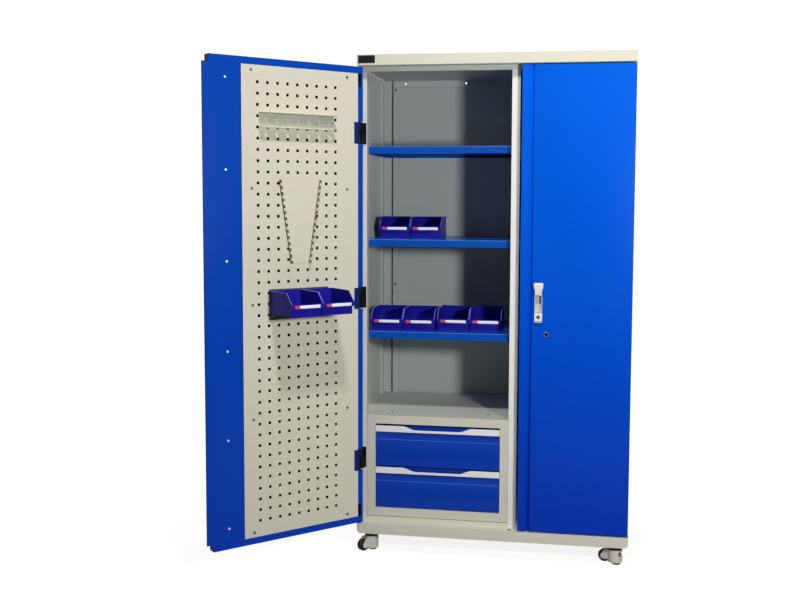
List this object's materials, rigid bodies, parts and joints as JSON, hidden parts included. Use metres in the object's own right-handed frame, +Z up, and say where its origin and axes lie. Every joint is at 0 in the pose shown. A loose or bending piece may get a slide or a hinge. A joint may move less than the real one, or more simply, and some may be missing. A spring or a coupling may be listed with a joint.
{
  "type": "tool cabinet",
  "caption": "Two-door steel tool cabinet on levelling castors, with a perforated inner door panel, racks, storage bins, adjustable shelves and drawers.",
  "frame": {"origin": "centre of the base's underside, where the castors bolt on; the floor is 78 mm below it", "axes": "+X to the cabinet's right as seen from its front, +Y from its front to its back, +Z up"},
  "size_m": [1.428, 0.9757, 1.85],
  "materials": {
    "body_ivory": "smooth semi-gloss powder coat",
    "frame_grey": "smooth semi-gloss powder coat",
    "inner_grey": "smooth semi-gloss powder coat",
    "panel_ivory": "smooth semi-gloss powder coat",
    "door_blue": "smooth glossy powder coat",
    "drawer_blue": "smooth glossy powder coat",
    "black_metal": "satin black paint",
    "olive_metal": "satin grey-olive paint",
    "galvanised": "galvanised sheet",
    "bright_steel": "zinc plated",
    "chrome_lock": "polished",
    "grip_metal": "satin anodised",
    "bin_plastic": "smooth moulded plastic",
    "handle_plastic": "smooth moulded plastic",
    "housing_plastic": "smooth moulded plastic",
    "wheel_plastic": "moulded",
    "foot_red": "red enamel on the dial",
    "castor_ivory": "painted casting"
  },
  "bodies": {
    "cabinet": {"base_tray": "body_ivory", "top_cap": "body_ivory", "roof_panel": "frame_grey", "left_side_panel": "frame_grey", "right_side_panel": "frame_grey", "back_panel": "inner_grey", "centre_post": "frame_grey", "partition_panel": "inner_grey", "shelf_standards": "inner_grey", "shelf_clips": "bright_steel", "upper_shelf": "drawer_blue", "middle_shelf": "drawer_blue", "lower_shelf": "drawer_blue", "right_shelves": "drawer_blue", "drawer_housing": "frame_grey", "drawer_runners": "bright_steel", "badge_plate": "black_metal", "frame_hinge_halves": "black_metal", "carcass_fasteners": "bright_steel", "castor_mounts": "black_metal"},
    "left_door": {"left_door_skin": "door_blue", "left_door_stiffener": "door_blue", "pegboard": "panel_ivory", "left_door_fasteners": "bright_steel", "left_hinge_leaves": "black_metal", "tool_rack": "galvanised", "wrench_rack": "panel_ivory", "bin_rail": "olive_metal", "door_bins": "bin_plastic"},
    "right_door": {"right_door_skin": "door_blue", "right_door_liner": "door_blue", "right_hinge_leaves": "black_metal", "handle_housing": "housing_plastic", "cam_lock_barrel": "chrome_lock"},
    "lever": {"handle_lever": "handle_plastic"},
    "key_core": {"handle_key_core": "bright_steel"},
    "cam_core": {"cam_lock_core": "chrome_lock"},
    "upper_rod": {"upper_lock_rod": "bright_steel"},
    "lower_rod": {"lower_lock_rod": "bright_steel"},
    "upper_drawer": {"upper_drawer_tub": "drawer_blue", "upper_drawer_front": "drawer_blue", "upper_drawer_handle": "grip_metal"},
    "lower_drawer": {"lower_drawer_tub": "drawer_blue", "lower_drawer_front": "drawer_blue", "lower_drawer_handle": "grip_metal"},
    "middle_bins": {"middle_shelf_bins": "bin_plastic"},
    "lower_left_bin_pair": {"lower_left_bins": "bin_plastic"},
    "lower_right_bin_pair": {"lower_right_bins": "bin_plastic"},
    "castor_front_left_yoke_body": {"castor_front_left_yoke": "castor_ivory"},
    "castor_front_left_wheel_body": {"castor_front_left_wheel": "wheel_plastic"},
    "castor_front_left_foot_body": {"castor_front_left_foot": "foot_red"},
    "castor_front_right_yoke_body": {"castor_front_right_yoke": "castor_ivory"},
    "castor_front_right_wheel_body": {"castor_front_right_wheel": "wheel_plastic"},
    "castor_front_right_foot_body": {"castor_front_right_foot": "foot_red"},
    "castor_rear_left_yoke_body": {"castor_rear_left_yoke": "castor_ivory"},
    "castor_rear_left_wheel_body": {"castor_rear_left_wheel": "wheel_plastic"},
    "castor_rear_left_foot_body": {"castor_rear_left_foot": "foot_red"},
    "castor_rear_right_yoke_body": {"castor_rear_right_yoke": "castor_ivory"},
    "castor_rear_right_wheel_body": {"castor_rear_right_wheel": "wheel_plastic"},
    "castor_rear_right_foot_body": {"castor_rear_right_foot": "foot_red"}
  },
  "joints": [
    {"name": "left_door_hinge", "type": "hinge", "parent": "cabinet", "child": "left_door", "pos_m": [-0.494, -0.26, 0.9], "axis": [0, 0, -1], "range_deg": [-132.4, 0]},
    {"name": "right_door_hinge", "type": "hinge", "parent": "cabinet", "child": "right_door", "pos_m": [0.494, -0.26, 0.9], "axis": [0, 0, 1], "range_deg": [0, 136]},
    {"name": "lever_hinge", "type": "hinge", "parent": "right_door", "child": "lever", "pos_m": [0.16725, -0.283, 0.948], "axis": [-1, 0, 0], "range_deg": [0, 25]},
    {"name": "key_turn", "type": "hinge", "parent": "right_door", "child": "key_core", "pos_m": [0.16725, -0.265, 0.832], "axis": [0, 1, 0], "range_deg": [0, 90]},
    {"name": "cam_turn", "type": "hinge", "parent": "right_door", "child": "cam_core", "pos_m": [0.19625, -0.265, 0.769], "axis": [0, -1, 0], "range_deg": [0, 90]},
    {"name": "upper_rod_slide", "type": "slide", "parent": "right_door", "child": "upper_rod", "axis": [0, 0, 1], "range_m": [0, 0.014]},
    {"name": "lower_rod_slide", "type": "slide", "parent": "right_door", "child": "lower_rod", "axis": [0, 0, -1], "range_m": [0, 0.0141]},
    {"name": "upper_drawer_slide", "type": "slide", "parent": "cabinet", "child": "upper_drawer", "axis": [0, -1, 0], "range_m": [0, 0.33]},
    {"name": "lower_drawer_slide", "type": "slide", "parent": "cabinet", "child": "lower_drawer", "axis": [0, -1, 0], "range_m": [0, 0.33]},
    {"name": "middle_bins_slide", "type": "slide", "parent": "cabinet", "child": "middle_bins", "axis": [0, -1, 0], "range_m": [0, 0.2]},
    {"name": "lower_left_bins_slide", "type": "slide", "parent": "cabinet", "child": "lower_left_bin_pair", "axis": [0, -1, 0], "range_m": [0, 0.2]},
    {"name": "lower_right_bins_slide", "type": "slide", "parent": "cabinet", "child": "lower_right_bin_pair", "axis": [0, -1, 0], "range_m": [0, 0.2]},
    {"name": "castor_front_left_swivel", "type": "hinge", "parent": "cabinet", "child": "castor_front_left_yoke_body", "pos_m": [-0.456, -0.213, -0.02], "axis": [0, 0, 1], "continuous": true},
    {"name": "castor_front_left_roll", "type": "hinge", "parent": "castor_front_left_yoke_body", "child": "castor_front_left_wheel_body", "pos_m": [-0.48117, -0.24409, -0.0525], "axis": [0.7771, -0.6293, 0], "continuous": true},
    {"name": "castor_front_left_levelling", "type": "slide", "parent": "castor_front_left_yoke_body", "child": "castor_front_left_foot_body", "axis": [0, 0, -1], "range_m": [0, 0.01]},
    {"name": "castor_front_right_swivel", "type": "hinge", "parent": "cabinet", "child": "castor_front_right_yoke_body", "pos_m": [0.456, -0.213, -0.02], "axis": [0, 0, 1], "continuous": true},
    {"name": "castor_front_right_roll", "type": "hinge", "parent": "castor_front_right_yoke_body", "child": "castor_front_right_wheel_body", "pos_m": [0.41891, -0.19802, -0.0525], "axis": [-0.3746, -0.9272, 0], "continuous": true},
    {"name": "castor_front_right_levelling", "type": "slide", "parent": "castor_front_right_yoke_body", "child": "castor_front_right_foot_body", "axis": [0, 0, -1], "range_m": [0, 0.01]},
    {"name": "castor_rear_left_swivel", "type": "hinge", "parent": "cabinet", "child": "castor_rear_left_yoke_body", "pos_m": [-0.456, 0.213, -0.02], "axis": [0, 0, 1], "continuous": true},
    {"name": "castor_rear_left_roll", "type": "hinge", "parent": "castor_rear_left_yoke_body", "child": "castor_rear_left_wheel_body", "pos_m": [-0.46968, 0.17541, -0.0525], "axis": [0.9397, -0.342, 0], "continuous": true},
    {"name": "castor_rear_left_levelling", "type": "slide", "parent": "castor_rear_left_yoke_body", "child": "castor_rear_left_foot_body", "axis": [0, 0, -1], "range_m": [0, 0.01]},
    {"name": "castor_rear_right_swivel", "type": "hinge", "parent": "cabinet", "child": "castor_rear_right_yoke_body", "pos_m": [0.456, 0.213, -0.02], "axis": [0, 0, 1], "continuous": true},
    {"name": "castor_rear_right_roll", "type": "hinge", "parent": "castor_rear_right_yoke_body", "child": "castor_rear_right_wheel_body", "pos_m": [0.476, 0.17836, -0.0525], "axis": [0.866, 0.5, 0], "continuous": true},
    {"name": "castor_rear_right_levelling", "type": "slide", "parent": "castor_rear_right_yoke_body", "child": "castor_rear_right_foot_body", "axis": [0, 0, -1], "range_m": [0, 0.01]}
  ],
  "couplings": [
    {"joint": "key_turn", "follows": "upper_rod_slide", "rad_per_m": 112.19},
    {"joint": "lower_rod_slide", "follows": "upper_rod_slide", "ratio": 1}
  ]
}
